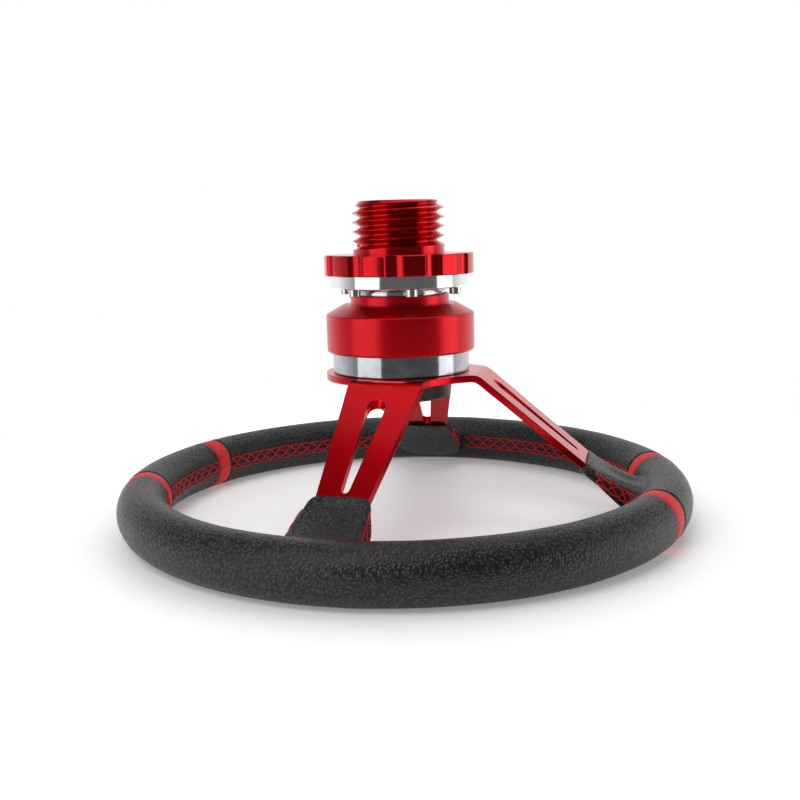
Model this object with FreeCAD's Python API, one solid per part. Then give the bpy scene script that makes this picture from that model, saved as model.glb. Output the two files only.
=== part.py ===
"""Quick release steering wheel: a three spoke wheel, lying face down, with its release hub on top.

Frame: +Z is the column axis, from the wheel to the column; +Y is 12 o'clock of the wheel and -Y is
6 o'clock; the origin is on the axis, at the lowest point of the rim. Millimetres and degrees.
"""
import FreeCAD
import Part
import math
import os

V = FreeCAD.Vector
Z_AXIS = V(0, 0, 1)
ORIGIN = V(0, 0, 0)
TURN = 360.0

# Rim
RIM_RADIUS = 160.0
RIM_HALF_WIDTH = 15.0
RIM_HALF_HEIGHT = 16.0
LEATHER = 1.6
BAND_PROUD = 0.3
GLUE_LINE = 0.05
RIM_LEVEL = RIM_HALF_HEIGHT + BAND_PROUD
BAND_OFFSET_DEG = 17.5
BAND_WIDTH_DEG = 4.4
HOOP_INNER = 150.0
HOOP_OUTER = 166.0
HOOP_TOP = 16.0
HOOP_THICK = 4.0

# Spoke plate
PLATE_TOP = 92.0
PLATE_THICK = 4.0
PLATE_RADIUS = 46.0
PLATE_HOLE_RADIUS = 25.0
SPOKE_SLOPE_DEG = 39.6
BEND_INNER_RADIUS = 6.0
SIDE_BEND_R = 48.3
BOTTOM_BEND_R = 50.4
FOOT_END_R = 164.0
SLOT_HUB_RADIUS = 5.3
SLOT_RIM_RADIUS = 2.4
SLEEVE_START = 82.0
SLEEVE_THICK = 2.0
SLEEVE_FLARE = 7.0
RIVET_RADIUS = 2.5
RIVET_HEAD_RADIUS = 4.5
RIVET_HEAD = 1.5
RIVET_R = 157.0

# Screws of the hub bolt circle
BOLT_CIRCLE = 70.0
SCREWS = 6
WHEEL_SCREW_RADIUS = 2.5
WHEEL_SCREW_HEAD_RADIUS = 4.6
WHEEL_SCREW_END = 104.0
CAP_SCREW_RADIUS = 2.0
CAP_SCREW_HEAD_RADIUS = 3.5
CAP_SCREW_HEAD = 4.5
CAP_SCREW_END = 158.0
CAP_SCREW_PHASE_DEG = 24.3
HEX_KEY_RADIUS = 1.75

# Wheel half of the release hub
FLANGE_RADIUS = 41.85
FLANGE_TOP = 110.0
SLEEVE_OUTER = 26.9
SLEEVE_BORE = 22.28
SLEEVE_TOP = 142.0
SOCKET_TOP = 112.0
RUNNING_CLEARANCE = 0.08
KEYS = 6
KEY_WIDTH = 5.0
NOSE_RADIUS = 18.92
KEY_RADIUS = 21.2
SNAP_RING_BOTTOM = 139.5
SNAP_RING_THICK = 1.2
SNAP_RING_INNER = 25.5
SNAP_RING_OUTER = 28.3

# Locking balls, drawn back from the spigot with the collar down
BALLS = 8
BALL_RADIUS = 3.2
BALL_HOLE_RADIUS = 3.3
BALL_LEVEL = 122.0
BALL_FREE_R = 25.6
COLLAR_TRAVEL = 4.0
BALL_TRAVEL = 1.95

# Release collar
COLLAR_RADIUS = 45.1
COLLAR_BOTTOM = 104.5
COLLAR_CONE_BOTTOM = 127.5
COLLAR_LAND_R = 34.6
COLLAR_LAND = 133.1
NECK_RADIUS = 30.0
NECK_TOP = 138.8
SKIRT_BORE = 42.2
WEB_BOTTOM = 118.0
GUIDE_RADIUS = 30.6
GUIDE_BOTTOM = 113.2
POCKET_RADIUS = 29.0
POCKET_TOP = 126.2
COUNTERBORE_RADIUS = 28.6
COUNTERBORE_BOTTOM = 135.4
COLLAR_SPRING_R = 35.5
COLLAR_SPRING_WIRE = 2.0
COLLAR_SPRING_TURNS = 2.0

# Column half of the release hub
SPIGOT_RADIUS = 22.2
SPIGOT_BORE = 13.0
SPIGOT_BOTTOM = 98.0
SPIGOT_HEAD_RADIUS = 26.0
SPIGOT_HEAD = 3.4
DISC_RADIUS = 41.75
DISC_BOTTOM = 143.2
DISC_TOP = 150.7
BOSS_FLANGE_RADIUS = 45.4
BOSS_FLANGE_TOP = 162.9
BOSS_TOP = 194.4
SCALLOPS = 12
SCALLOP_RADIUS = 8.0
SCALLOP_DEPTH = 2.6
SCALLOP_PHASE_DEG = 9.3
THREAD_CREST = 27.75
THREAD_ROOT = 23.3
THREAD_PITCH = 5.5
THREAD_BOTTOM = 167.8
THREAD_PHASE_DEG = 103.3
THREAD_PHASE_Z = 190.15
THREAD_CREST_FLAT = 0.5
COLUMN_BORE = 9.525
COLUMN_BORE_BOTTOM = 172.0
NUT_POCKET_RADIUS = 15.5
KEYWAY_WIDTH = 4.8
KEYWAY_DEPTH = 2.4

# Horn button, pressed upwards from the driver's side
HORN_RADIUS = 30.3
HORN_BOTTOM = 76.0
HORN_SPIGOT_TOP = 91.4
HORN_SPIGOT_RADIUS = 24.9
HORN_CAVITY_RADIUS = 26.2
HORN_CEILING = 87.0
BEZEL_BORE = 23.0
BEZEL_TOP = 78.2
CAP_RADIUS = 22.7
CAP_LIP_RADIUS = 25.9
CAP_LIP_TOP = 80.4
CAP_DOME_BOTTOM = 74.4
HORN_SPRING_R = 9.0
HORN_SPRING_WIRE = 1.0
HORN_SPRING_TURNS = 3.0

SLOPE = math.radians(SPOKE_SLOPE_DEG)
FOOT_TOP = HOOP_TOP + PLATE_THICK


def cylinder(radius, bottom, top):
    return Part.makeCylinder(radius, top - bottom, V(0, 0, bottom), Z_AXIS)


def tube(outer, inner, bottom, top):
    return cylinder(outer, bottom, top).cut(cylinder(inner, bottom, top))


def box(x0, x1, y0, y1, z0, z1):
    return Part.makeBox(x1 - x0, y1 - y0, z1 - z0, V(x0, y0, z0))


def turned(outline):
    """Solid of revolution from (radius, height) points."""
    points = [V(radius, 0, height) for radius, height in outline]
    face = Part.Face(Part.makePolygon(points + points[:1]))
    return face.revolve(ORIGIN, Z_AXIS, TURN)


def turn_about_z(shape, degrees):
    copy = shape.copy()
    copy.rotate(ORIGIN, Z_AXIS, degrees)
    return copy


def ring_of(shape, count, phase=0.0):
    """The same shape, repeated evenly about the column axis."""
    return [turn_about_z(shape, phase + TURN * i / count) for i in range(count)]


def fuse(shapes):
    return shapes[0].multiFuse(shapes[1:]).removeSplitter()


def rim_solid(shrink):
    """The rim's oval section turned right round, smaller all over by shrink."""
    half_width = RIM_HALF_WIDTH - shrink
    half_height = RIM_HALF_HEIGHT - shrink
    oval = Part.Ellipse(V(0, 0, half_height), V(half_width, 0, 0), ORIGIN)
    if half_width > half_height:
        oval = Part.Ellipse(V(half_width, 0, 0), V(0, 0, half_height), ORIGIN)
    face = Part.Face(Part.Wire(oval.toShape()))
    face.translate(V(RIM_RADIUS, 0, RIM_LEVEL))
    return face.revolve(ORIGIN, Z_AXIS, TURN)


def sector(start, end):
    """A wedge about the axis, larger than the wheel, from one angle to another."""
    reach = 2.0 * RIM_RADIUS
    height = 2.0 * RIM_HALF_HEIGHT
    wedge = Part.makeCylinder(reach, 2.0 * height, V(0, 0, -height / 2.0), Z_AXIS, end - start)
    return turn_about_z(wedge, start)


def offset_corner(corner, before, after, distance):
    """A corner of a line in the (r, z) plane, moved so that both its sides shift by distance."""
    dot = before[0] * after[0] + before[1] * after[1]
    scale = distance / (1.0 + dot)
    return (corner[0] + scale * (before[0] + after[0]), corner[1] + scale * (before[1] + after[1]))


def spoke_section(bend_r, start, end_r, above, below):
    """Side view of a spoke: a flat start, a slope and a flat foot, as (r, z) points.

    The line is the upper face; above and below are the distances to the section's two faces. A start
    of None begins at the axis, and a number begins that far down the slope.
    """
    flat = (0.0, 1.0)
    sloped = (math.sin(SLOPE), math.cos(SLOPE))
    foot_r = bend_r + (PLATE_TOP - FOOT_TOP) / math.tan(SLOPE)

    def side(distance):
        foot = offset_corner((foot_r, FOOT_TOP), sloped, flat, distance)
        last = (end_r, FOOT_TOP + distance)
        if start is None:
            bend = offset_corner((bend_r, PLATE_TOP), flat, sloped, distance)
            return [(0.0, PLATE_TOP + distance), bend, foot, last]
        run_r = bend_r + start * math.cos(SLOPE) + distance * sloped[0]
        run_z = PLATE_TOP - start * math.sin(SLOPE) + distance * sloped[1]
        return [(run_r, run_z), foot, last]

    return side(above) + side(-below)[::-1]


def spoke_strip(section, low, high):
    """The side view drawn along +X and given its width, from y = low to y = high."""
    points = [V(r, low, z) for r, z in section]
    face = Part.Face(Part.makePolygon(points + points[:1]))
    return face.extrude(V(0, high - low, 0))


def round_bends(strip, inside):
    """Rounds a strip's bends: inside is the smaller radius, and the other face is concentric."""
    thick = inside + PLATE_THICK
    bends = []
    for edge in strip.Edges:
        middle = edge.CenterOfMass
        across = abs(edge.Vertexes[0].Point.y - edge.Vertexes[-1].Point.y) > 1.0
        if across and 1.0 < middle.x < FOOT_END_R - 1.0:
            bends.append(edge)
    bends.sort(key=lambda edge: edge.CenterOfMass.z)
    lower_foot, upper_foot, lower_hub, upper_hub = bends
    strip = strip.makeFillet(inside, [upper_foot, lower_hub])
    outer = []
    for edge in strip.Edges:
        for bend in (lower_foot, upper_hub):
            if edge.CenterOfMass.distanceToPoint(bend.CenterOfMass) < 0.01:
                outer.append(edge)
    return strip.makeFillet(thick, outer)


def spoke_strips():
    """The bent sheet of the three spokes, before it is cut to its outline."""
    wide = PLATE_RADIUS
    side = spoke_section(SIDE_BEND_R, None, FOOT_END_R, 0.0, PLATE_THICK)
    bottom = spoke_section(BOTTOM_BEND_R, None, FOOT_END_R, 0.0, PLATE_THICK)
    right = round_bends(spoke_strip(side, -wide + 5.0, wide - 5.0), BEND_INNER_RADIUS)
    down = round_bends(spoke_strip(bottom, -wide + 5.0, wide - 5.0), BEND_INNER_RADIUS)
    left = right.mirror(ORIGIN, V(1, 0, 0))
    return [right, left, turn_about_z(down, -90.0)]


def line(start, end):
    return Part.LineSegment(V(*start, 0), V(*end, 0)).toShape()


def arc(start, middle, end):
    return Part.Arc(V(*start, 0), V(*middle, 0), V(*end, 0)).toShape()


def mirrored(point):
    return (-point[0], point[1])


# Outline of the spoke plate's right half, seen along the column axis
SHOULDER = (41.7, 19.4)
SIDE_UPPER = (112.0, 21.9)
SIDE_UPPER_END = (FOOT_END_R, 22.3)
SIDE_LOWER_END = (FOOT_END_R, -5.6)
SIDE_LOWER = (114.0, -6.4)
SIDE_ROOT = (50.0, -23.5)
WEB_MIDDLE = (32.8, -33.8)
BOTTOM_ROOT = (20.0, -52.0)
BOTTOM_EDGE = (17.5, -114.0)
BOTTOM_END = (17.2, -FOOT_END_R)


def plate_outline():
    """The plate's outline as a tall prism: a disc, three spokes, and webs beside the bottom spoke."""
    top = (0.0, PLATE_RADIUS)
    right = [
        line(SHOULDER, SIDE_UPPER), line(SIDE_UPPER, SIDE_UPPER_END),
        line(SIDE_UPPER_END, SIDE_LOWER_END), line(SIDE_LOWER_END, SIDE_LOWER),
        line(SIDE_LOWER, SIDE_ROOT), arc(SIDE_ROOT, WEB_MIDDLE, BOTTOM_ROOT),
        line(BOTTOM_ROOT, BOTTOM_EDGE), line(BOTTOM_EDGE, BOTTOM_END),
    ]
    left = [edge.mirror(ORIGIN, V(1, 0, 0)) for edge in right]
    crown = arc(SHOULDER, top, mirrored(SHOULDER))
    end = line(BOTTOM_END, mirrored(BOTTOM_END))
    wire = Part.Wire(Part.__sortEdges__(right + left + [crown, end]))
    return Part.Face(wire).extrude(V(0, 0, PLATE_TOP + PLATE_THICK))


def slot(start, end):
    """A tapered slot with round ends, wide towards the hub, as a tall cutter."""
    along = V(end[0] - start[0], end[1] - start[1], 0)
    lean = math.asin((SLOT_HUB_RADIUS - SLOT_RIM_RADIUS) / along.Length)
    heading = math.atan2(along.y, along.x)
    pairs = []
    for sign in (1.0, -1.0):
        angle = heading + sign * (math.pi / 2.0 - lean)
        normal = (math.cos(angle), math.sin(angle))
        pairs.append([(x + r * normal[0], y + r * normal[1]) for (x, y), r in
                      ((start, SLOT_HUB_RADIUS), (end, SLOT_RIM_RADIUS))])
    unit = (math.cos(heading), math.sin(heading))
    back = (start[0] - SLOT_HUB_RADIUS * unit[0], start[1] - SLOT_HUB_RADIUS * unit[1])
    front = (end[0] + SLOT_RIM_RADIUS * unit[0], end[1] + SLOT_RIM_RADIUS * unit[1])
    (left_hub, left_rim), (right_hub, right_rim) = pairs
    wire = Part.Wire([line(left_hub, left_rim), arc(left_rim, front, right_rim),
                      line(right_rim, right_hub), arc(right_hub, back, left_hub)])
    return Part.Face(wire).extrude(V(0, 0, PLATE_TOP + PLATE_THICK))


def spoke_slots():
    right = slot((64.5, 0.2), (106.6, 6.6))
    left = right.mirror(ORIGIN, V(1, 0, 0))
    bottom = slot((0.0, -62.5), (0.0, -105.6))
    return [right, left, bottom]


def wheel_screw_bodies():
    """Countersunk screws, heads flush with the plate's lower face, on the bolt circle."""
    low = PLATE_TOP - PLATE_THICK
    cone_top = low + WHEEL_SCREW_HEAD_RADIUS - WHEEL_SCREW_RADIUS
    screw = turned([(0, low), (WHEEL_SCREW_HEAD_RADIUS, low), (WHEEL_SCREW_RADIUS, cone_top),
                    (WHEEL_SCREW_RADIUS, WHEEL_SCREW_END), (0, WHEEL_SCREW_END)])
    screw.translate(V(BOLT_CIRCLE / 2.0, 0, 0))
    return ring_of(screw, SCREWS)


def wheel_screws():
    key = hexagon(HEX_KEY_RADIUS, PLATE_TOP - PLATE_THICK, PLATE_TOP - PLATE_THICK + 2.2)
    key.translate(V(BOLT_CIRCLE / 2.0, 0, 0))
    keys = ring_of(key, SCREWS)
    return [screw.cut(key) for screw, key in zip(wheel_screw_bodies(), keys)]


def hexagon(radius, bottom, top):
    points = [V(radius * math.cos(math.radians(60 * i)), radius * math.sin(math.radians(60 * i)), bottom)
              for i in range(7)]
    return Part.Face(Part.makePolygon(points)).extrude(V(0, 0, top - bottom))


def rivet_places():
    """The rivets' places on the hoop, two through each spoke foot."""
    side_low, side_high = -0.5, 17.0
    bottom_half = 10.5
    return [(RIVET_R, side_low), (RIVET_R - 1.0, side_high),
            (-RIVET_R, side_low), (-RIVET_R + 1.0, side_high),
            (-bottom_half, -RIVET_R), (bottom_half, -RIVET_R)]


def foot_rivets():
    rivets = []
    for x, y in rivet_places():
        shank = cylinder(RIVET_RADIUS, HOOP_TOP - HOOP_THICK, FOOT_TOP)
        upper = cylinder(RIVET_HEAD_RADIUS, FOOT_TOP, FOOT_TOP + RIVET_HEAD)
        lower_top = HOOP_TOP - HOOP_THICK
        lower = cylinder(RIVET_HEAD_RADIUS, lower_top - RIVET_HEAD, lower_top)
        rivet = fuse([shank, upper, lower])
        rivet.translate(V(x, y, 0))
        rivets.append(rivet)
    return rivets


def spider():
    """The red plate: bent sheet, cut to its outline, with slots and holes for screws and rivets."""
    disc = cylinder(PLATE_RADIUS, PLATE_TOP - PLATE_THICK, PLATE_TOP)
    sheet = fuse([disc] + spoke_strips())
    plate = sheet.common(plate_outline())
    plate = plate.cut(Part.makeCompound(spoke_slots()))
    plate = plate.cut(cylinder(PLATE_HOLE_RADIUS, 0, PLATE_TOP))
    plate = plate.cut(Part.makeCompound(wheel_screw_bodies()))
    return plate.cut(Part.makeCompound(foot_rivets()))


def rim_hoop():
    hoop = tube(HOOP_OUTER, HOOP_INNER, HOOP_TOP - HOOP_THICK, HOOP_TOP)
    return hoop.cut(Part.makeCompound(foot_rivets()))


def rim_foam(inside):
    """The moulded foam over the hoop, a glue line's thickness inside the leather."""
    return rim_solid(LEATHER + GLUE_LINE).cut(Part.makeCompound(inside))


def rim_cover(start, end, proud, inside):
    """A length of leather round the rim, from one angle to another."""
    cover = rim_solid(-proud).cut(rim_solid(LEATHER)).common(sector(start, end))
    if inside is None:
        return cover
    return cover.cut(inside)


def spoke_sleeve(bend_r, low, high, turn, plate):
    """A leather sleeve over the foot of one spoke, flaring out to meet the rim."""
    section = spoke_section(bend_r, SLEEVE_START, RIM_RADIUS, SLEEVE_THICK, PLATE_THICK + SLEEVE_THICK)
    strip = spoke_strip(section, low - SLEEVE_FLARE, high + SLEEVE_FLARE)
    start_r = bend_r + SLEEVE_START * math.cos(SLOPE) - PLATE_THICK
    wide = SLEEVE_THICK + SLEEVE_FLARE
    points = [V(start_r, low - SLEEVE_THICK, 0), V(RIM_RADIUS, low - wide, 0),
              V(RIM_RADIUS, high + wide, 0), V(start_r, high + SLEEVE_THICK, 0)]
    plan = Part.Face(Part.makePolygon(points + points[:1])).extrude(V(0, 0, PLATE_TOP))
    sleeve = turn_about_z(strip.common(plan), turn)
    return sleeve.cut(rim_solid(0.0)).cut(plate)


def coil(radius, wire, turns, bottom, top):
    """A spring between two levels, of wire with a six-sided section."""
    height = top - bottom - wire
    path = Part.makeHelix(height / turns, height, radius)
    angles = [math.radians(60 * i) for i in range(6)]
    half = wire / 2.0
    points = [V(radius + half * math.cos(a), 0, half * math.sin(a)) for a in angles]
    section = Part.makePolygon(points + points[:1])
    spring = Part.Wire(path).makePipeShell([section], True, True)
    spring.translate(V(0, 0, bottom + wire / 2.0))
    return spring


def keyed_plug(radius, key_radius, key_width, bottom, top):
    """A round plug with straight keys, the shape of the nose and of its socket."""
    reach = key_radius + 1.0
    half = key_width / 2.0
    key = box(0, reach, -half, half, bottom, top).common(cylinder(key_radius, bottom, top))
    return fuse([cylinder(radius, bottom, top)] + ring_of(key, KEYS))


def ball_holes():
    hole = Part.makeCylinder(BALL_HOLE_RADIUS, 12.0, V(SPIGOT_RADIUS - 3.0, 0, BALL_LEVEL), V(1, 0, 0))
    return ring_of(hole, BALLS)


def coupler_body():
    """The wheel half: a flange on the plate and a sleeve with ball holes, bored for the spigot."""
    edge = 0.6
    body = turned([(0, PLATE_TOP), (FLANGE_RADIUS - edge, PLATE_TOP),
                   (FLANGE_RADIUS, PLATE_TOP + edge), (FLANGE_RADIUS, FLANGE_TOP - edge),
                   (FLANGE_RADIUS - edge, FLANGE_TOP), (SLEEVE_OUTER, FLANGE_TOP),
                   (SLEEVE_OUTER, SLEEVE_TOP - edge), (SLEEVE_OUTER - edge, SLEEVE_TOP),
                   (0, SLEEVE_TOP)])
    body = body.cut(cylinder(SLEEVE_BORE, SOCKET_TOP, SLEEVE_TOP))
    socket = keyed_plug(NOSE_RADIUS + RUNNING_CLEARANCE, KEY_RADIUS + RUNNING_CLEARANCE,
                        KEY_WIDTH + RUNNING_CLEARANCE, PLATE_TOP, SOCKET_TOP)
    body = body.cut(socket)
    groove = tube(SLEEVE_OUTER, SNAP_RING_INNER, SNAP_RING_BOTTOM, SNAP_RING_BOTTOM + SNAP_RING_THICK)
    body = body.cut(Part.makeCompound(ball_holes()))
    return body.cut(groove).cut(Part.makeCompound(wheel_screw_bodies()))


def sleeve_snap_ring():
    """The split ring that stops the collar at the top of its travel."""
    ring = tube(SNAP_RING_OUTER, SNAP_RING_INNER, SNAP_RING_BOTTOM, SNAP_RING_BOTTOM + SNAP_RING_THICK)
    gap = box(0, SNAP_RING_OUTER + 1.0, -3.0, 3.0, SNAP_RING_BOTTOM, SNAP_RING_BOTTOM + SNAP_RING_THICK)
    return ring.cut(turn_about_z(gap, 45.0))


def release_collar():
    """The sliding collar: skirt, cone and neck outside; guide, ball ramp and pocket inside."""
    guide = SLEEVE_OUTER + RUNNING_CLEARANCE
    ramp_ratio = BALL_TRAVEL / COLLAR_TRAVEL
    ramp_top = BALL_LEVEL - 0.55
    ramp_bottom = ramp_top - (POCKET_RADIUS - guide) / ramp_ratio
    edge = 1.2
    small = 0.5
    return turned([
        (COLLAR_RADIUS - edge, COLLAR_BOTTOM), (COLLAR_RADIUS - 0.3 * edge, COLLAR_BOTTOM + 0.3 * edge),
        (COLLAR_RADIUS, COLLAR_BOTTOM + edge), (COLLAR_RADIUS, COLLAR_CONE_BOTTOM - small),
        (COLLAR_RADIUS - small, COLLAR_CONE_BOTTOM), (COLLAR_LAND_R, COLLAR_LAND),
        (NECK_RADIUS, COLLAR_LAND), (NECK_RADIUS, NECK_TOP - small),
        (NECK_RADIUS - small, NECK_TOP), (COUNTERBORE_RADIUS, NECK_TOP),
        (COUNTERBORE_RADIUS, COUNTERBORE_BOTTOM), (guide, COUNTERBORE_BOTTOM),
        (guide, POCKET_TOP), (POCKET_RADIUS, POCKET_TOP), (POCKET_RADIUS, ramp_top),
        (guide, ramp_bottom), (guide, GUIDE_BOTTOM), (GUIDE_RADIUS, GUIDE_BOTTOM),
        (GUIDE_RADIUS, WEB_BOTTOM), (SKIRT_BORE, WEB_BOTTOM), (SKIRT_BORE, COLLAR_BOTTOM),
    ])


def locking_balls():
    ball = Part.makeSphere(BALL_RADIUS, V(BALL_FREE_R, 0, BALL_LEVEL))
    return ring_of(ball, BALLS)


def spigot():
    """The steel tube of the column half: head, ball groove and keyed nose."""
    body = turned([(SPIGOT_BORE, SOCKET_TOP + 0.4), (SPIGOT_RADIUS - 0.5, SOCKET_TOP + 0.4),
                   (SPIGOT_RADIUS, SOCKET_TOP + 0.9), (SPIGOT_RADIUS, DISC_TOP - SPIGOT_HEAD),
                   (SPIGOT_HEAD_RADIUS, DISC_TOP - SPIGOT_HEAD), (SPIGOT_HEAD_RADIUS, DISC_TOP),
                   (SPIGOT_BORE, DISC_TOP)])
    nose = keyed_plug(NOSE_RADIUS, KEY_RADIUS, KEY_WIDTH, SPIGOT_BOTTOM, SOCKET_TOP + 0.4)
    nose = nose.cut(cylinder(SPIGOT_BORE, SPIGOT_BOTTOM, SOCKET_TOP + 0.4))
    groove_r = BALL_FREE_R - BALL_TRAVEL
    circle = Part.Wire(Part.makeCircle(BALL_RADIUS + 0.15, V(groove_r, 0, BALL_LEVEL), V(0, 1, 0)))
    groove = Part.Face(circle).revolve(ORIGIN, Z_AXIS, TURN)
    return fuse([body, nose]).cut(groove)


def cap_screw_bodies():
    shank = cylinder(CAP_SCREW_RADIUS, DISC_BOTTOM, CAP_SCREW_END)
    edge = 0.35
    low = DISC_BOTTOM - CAP_SCREW_HEAD
    head = turned([(0, low), (CAP_SCREW_HEAD_RADIUS - edge, low),
                   (CAP_SCREW_HEAD_RADIUS, low + edge), (CAP_SCREW_HEAD_RADIUS, DISC_BOTTOM),
                   (0, DISC_BOTTOM)])
    screw = fuse([shank, head])
    screw.translate(V(BOLT_CIRCLE / 2.0, 0, 0))
    return ring_of(screw, SCREWS, CAP_SCREW_PHASE_DEG)


def hub_cap_screws():
    low = DISC_BOTTOM - CAP_SCREW_HEAD
    key = hexagon(HEX_KEY_RADIUS, low, low + 2.4)
    key.translate(V(BOLT_CIRCLE / 2.0, 0, 0))
    keys = ring_of(key, SCREWS, CAP_SCREW_PHASE_DEG)
    return [screw.cut(key) for screw, key in zip(cap_screw_bodies(), keys)]


def mounting_disc():
    """The polished disc that the spigot hangs from."""
    edge = 0.5
    disc = turned([(SPIGOT_RADIUS, DISC_BOTTOM), (DISC_RADIUS - edge, DISC_BOTTOM),
                   (DISC_RADIUS, DISC_BOTTOM + edge), (DISC_RADIUS, DISC_TOP),
                   (SPIGOT_HEAD_RADIUS, DISC_TOP), (SPIGOT_HEAD_RADIUS, DISC_TOP - SPIGOT_HEAD),
                   (SPIGOT_RADIUS, DISC_TOP - SPIGOT_HEAD)])
    return disc.cut(Part.makeCompound(cap_screw_bodies()))


def thread_cutter():
    """The groove of the coarse column thread, swept along its helix and past the boss's end."""
    over = 0.9
    depth = THREAD_CREST - THREAD_ROOT
    half = (THREAD_PITCH - THREAD_CREST_FLAT) / 2.0 * (depth + over) / depth
    start_deg = THREAD_PHASE_DEG + TURN * (THREAD_BOTTOM - THREAD_PHASE_Z) / THREAD_PITCH
    height = BOSS_TOP - THREAD_BOTTOM + THREAD_PITCH
    path = Part.Wire(Part.makeHelix(THREAD_PITCH, height, THREAD_CREST))
    outer = THREAD_CREST + over
    tip = 0.25
    points = [V(outer, 0, -half), V(THREAD_ROOT, 0, -tip), V(THREAD_ROOT, 0, tip), V(outer, 0, half)]
    profile = Part.makePolygon(points + points[:1])
    groove = path.makePipeShell([profile], True, True)
    groove.translate(V(0, 0, THREAD_BOTTOM))
    return turn_about_z(groove, start_deg)


def scalloped_flange():
    """The grip ring shrunk on the boss, with twelve shallow scallops, which the cap screws hold."""
    edge = 0.6
    flange = turned([(THREAD_CREST, DISC_TOP), (BOSS_FLANGE_RADIUS - edge, DISC_TOP),
                     (BOSS_FLANGE_RADIUS, DISC_TOP + edge), (BOSS_FLANGE_RADIUS, BOSS_FLANGE_TOP - edge),
                     (BOSS_FLANGE_RADIUS - edge, BOSS_FLANGE_TOP), (THREAD_CREST, BOSS_FLANGE_TOP)])
    centre = BOSS_FLANGE_RADIUS + SCALLOP_RADIUS - SCALLOP_DEPTH
    scallop = cylinder(SCALLOP_RADIUS, DISC_TOP, BOSS_FLANGE_TOP)
    scallop.translate(V(centre, 0, 0))
    flange = flange.cut(Part.makeCompound(ring_of(scallop, SCALLOPS, SCALLOP_PHASE_DEG)))
    return flange.cut(Part.makeCompound(cap_screw_bodies()))


def column_boss():
    """The column half's boss: smooth register, coarse thread, keyed bore and nut pocket."""
    chamfer = THREAD_CREST - THREAD_ROOT
    boss = turned([(0, DISC_TOP), (THREAD_CREST, DISC_TOP), (THREAD_CREST, BOSS_TOP - chamfer),
                   (THREAD_ROOT + 0.4, BOSS_TOP), (0, BOSS_TOP)])
    boss = boss.cut(cylinder(NUT_POCKET_RADIUS, DISC_TOP, COLUMN_BORE_BOTTOM))
    boss = boss.cut(cylinder(COLUMN_BORE, COLUMN_BORE_BOTTOM, BOSS_TOP))
    half = KEYWAY_WIDTH / 2.0
    boss = boss.cut(box(-half, half, 0, COLUMN_BORE + KEYWAY_DEPTH, COLUMN_BORE_BOTTOM, BOSS_TOP))
    return boss.cut(thread_cutter())


def horn_housing():
    """The cup under the plate that holds the horn button, with a spigot in the plate's hole."""
    plate_bottom = PLATE_TOP - PLATE_THICK
    edge = 0.8
    body = turned([(0, BEZEL_TOP), (HORN_RADIUS, BEZEL_TOP), (HORN_RADIUS, plate_bottom - edge),
                   (HORN_RADIUS - edge, plate_bottom), (HORN_SPIGOT_RADIUS, plate_bottom),
                   (HORN_SPIGOT_RADIUS, HORN_SPIGOT_TOP), (0, HORN_SPIGOT_TOP)])
    body = body.cut(cylinder(HORN_CAVITY_RADIUS, BEZEL_TOP, HORN_CEILING - 2.0))
    body = body.cut(cylinder(HORN_SPIGOT_RADIUS - 2.5, HORN_CEILING - 2.0, HORN_CEILING))
    return body.cut(Part.makeCompound(terminal_blanks()))


def terminal_blanks():
    """Two flat blades through the housing's ceiling."""
    blade = box(-2.4, 2.4, 13.0, 13.8, HORN_CEILING, HORN_SPIGOT_TOP + 4.0)
    return [blade, turn_about_z(blade, 180.0)]


def horn_terminals():
    hole = Part.makeCylinder(0.8, 4.0, V(0, 12.0, HORN_SPIGOT_TOP + 2.4), V(0, 1, 0))
    return [blade.cut(cutter) for blade, cutter in
            zip(terminal_blanks(), [hole, turn_about_z(hole, 180.0)])]


def horn_bezel():
    edge = 1.0
    return turned([(BEZEL_BORE, HORN_BOTTOM), (HORN_RADIUS - edge, HORN_BOTTOM),
                   (HORN_RADIUS, HORN_BOTTOM + edge), (HORN_RADIUS, BEZEL_TOP),
                   (BEZEL_BORE, BEZEL_TOP)])


def horn_cap():
    """The button: a shallow dome downwards, a lip above the bezel and a seat for the spring."""
    edge = HORN_BOTTOM + 0.2
    seat = 1.2
    lip_bottom = BEZEL_TOP + 0.1
    return turned([(0, CAP_DOME_BOTTOM), (0.5 * CAP_RADIUS, CAP_DOME_BOTTOM + 0.35),
                   (0.85 * CAP_RADIUS, CAP_DOME_BOTTOM + 1.1), (CAP_RADIUS, edge),
                   (CAP_RADIUS, lip_bottom), (CAP_LIP_RADIUS, lip_bottom),
                   (CAP_LIP_RADIUS, CAP_LIP_TOP), (12.0, CAP_LIP_TOP), (12.0, CAP_LIP_TOP - seat),
                   (0, CAP_LIP_TOP - seat)])


def horn_moving_contact():
    return tube(20.0, 14.0, CAP_LIP_TOP, CAP_LIP_TOP + 0.8)


def horn_fixed_contact():
    return tube(20.0, 14.5, HORN_CEILING - 1.0, HORN_CEILING)


def write(name, shape):
    if isinstance(shape, list):
        shape = Part.makeCompound(shape)
    if not shape.isValid():
        print("not valid:", name)
    if shape.Volume <= 0.0:
        print("no volume:", name)
    print("%-22s %2d solid(s) %10.1f mm3" % (name, len(shape.Solids), shape.Volume))
    shape.exportStep("parts/%s.step" % name)


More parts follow.
